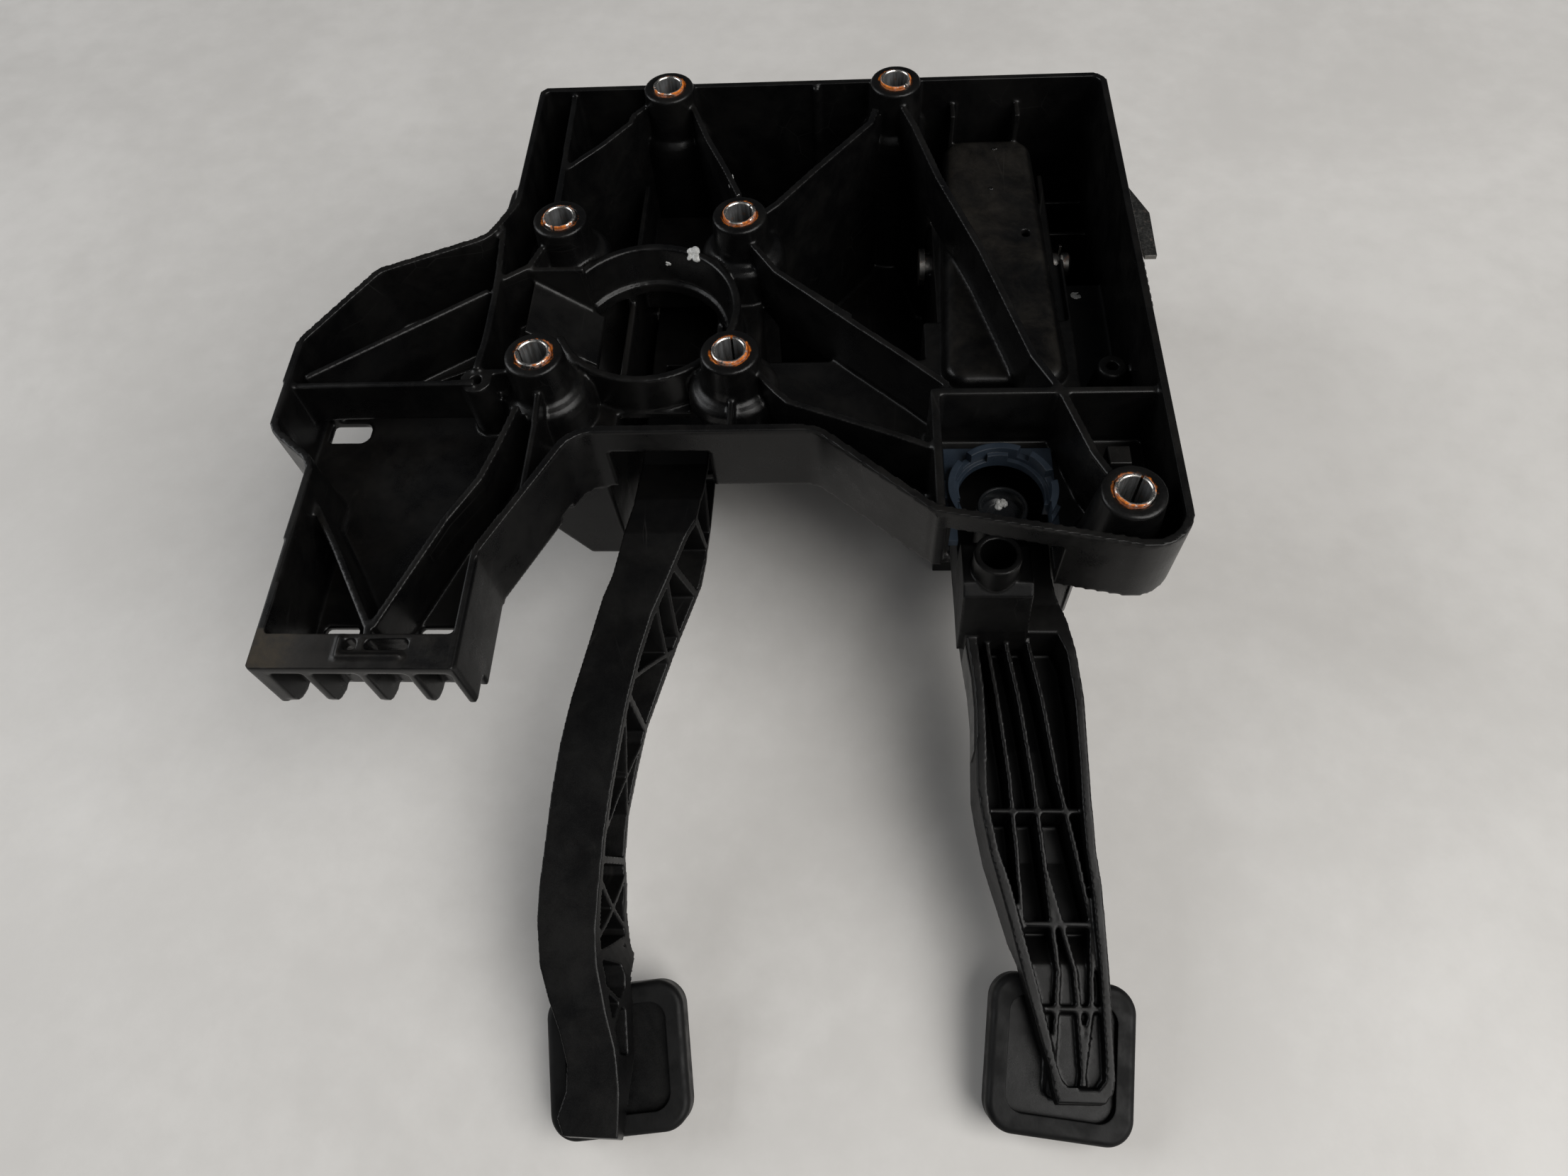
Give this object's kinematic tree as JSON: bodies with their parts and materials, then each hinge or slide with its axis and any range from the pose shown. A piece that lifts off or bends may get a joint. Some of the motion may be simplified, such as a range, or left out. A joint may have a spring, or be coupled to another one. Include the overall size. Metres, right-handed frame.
{
  "type": "pedal bracket",
  "caption": "Car pedal bracket: ribbed moulded housing with bulkhead bolt sleeves, hanging brake and clutch pedals on pivot pins, rubber pads and a bayonet seat for the clutch cylinder.",
  "frame": {"origin": "centre of the square pattern of the four booster bolts, on the plane of the sleeve tops that meets the bulkhead", "axes": "+Z to the bulkhead (away from the driver), +Y up in the vehicle, +X towards the clutch side"},
  "size_m": [0.34, 0.4129, 0.135],
  "materials": {
    "housing_plastic": "glass-filled moulded plastic, dusty and scuffed",
    "arm_plastic": "glass-filled moulded plastic",
    "sleeve_steel": "rolled steel, bright top with rust at the edge",
    "pin_steel": "zinc-plated steel",
    "bush_plastic": "natural moulded plastic",
    "pad_rubber": "worn rubber",
    "buffer_rubber": "soft rubber",
    "adapter_plastic": "blue-grey moulded plastic",
    "socket_plastic": "greased pale plastic",
    "bracket_steel": "dull plated sheet steel",
    "rail_plastic": "moulded plastic",
    "label_film": "blank dark film label"
  },
  "bodies": {
    "bracket": {"housing_wing_floor": "housing_plastic", "housing_wing_ledge": "housing_plastic", "housing_wing_rim": "housing_plastic", "housing_wing_ribs": "housing_plastic", "housing_left_floor": "housing_plastic", "housing_left_bosses": "housing_plastic", "housing_centre_floor": "housing_plastic", "housing_collar": "housing_plastic", "housing_right_bosses": "housing_plastic", "housing_front_wall": "housing_plastic", "housing_front_rib": "housing_plastic", "housing_bay_floor": "housing_plastic", "housing_bay_walls": "housing_plastic", "housing_bolt_corner": "housing_plastic", "housing_deep_floor": "housing_plastic", "housing_rear_skirt": "housing_plastic", "housing_brake_channel": "housing_plastic", "housing_front_plate": "housing_plastic", "housing_clutch_cheeks": "housing_plastic", "housing_rear_left": "housing_plastic", "housing_rear_centre": "housing_plastic", "housing_middle_left": "housing_plastic", "housing_middle_right": "housing_plastic", "housing_dome": "housing_plastic", "housing_dome_ribs": "housing_plastic", "housing_side_wall": "housing_plastic", "booster_sleeves": "sleeve_steel", "upper_sleeves": "sleeve_steel", "lower_sleeve": "sleeve_steel", "brake_pivot_pin": "pin_steel", "brake_pin_clip": "pin_steel", "clutch_pivot_pin": "pin_steel", "clutch_pin_clip": "pin_steel", "bayonet_adapter": "adapter_plastic", "brake_stop_buffer": "buffer_rubber", "clutch_stop_buffer": "buffer_rubber", "side_bracket": "bracket_steel", "notched_rail": "rail_plastic"},
    "brake_pedal": {"brake_arm": "arm_plastic", "brake_bushes": "bush_plastic", "brake_pad_rubber": "pad_rubber", "brake_clevis_pin": "pin_steel", "clevis_clip": "pin_steel"},
    "clutch_pedal": {"clutch_arm": "arm_plastic", "clutch_bushes": "bush_plastic", "clutch_pad_rubber": "pad_rubber", "rod_socket": "socket_plastic", "arm_label": "label_film"}
  },
  "joints": [
    {"name": "brake_pivot", "type": "hinge", "parent": "bracket", "child": "brake_pedal", "pos_m": [0, 0.062, -0.08], "axis": [-1, 0, 0], "range_deg": [0, 12]},
    {"name": "clutch_pivot", "type": "hinge", "parent": "bracket", "child": "clutch_pedal", "pos_m": [0.14, 0.053, -0.046], "axis": [-1, 0, 0], "range_deg": [0, 12]}
  ]
}
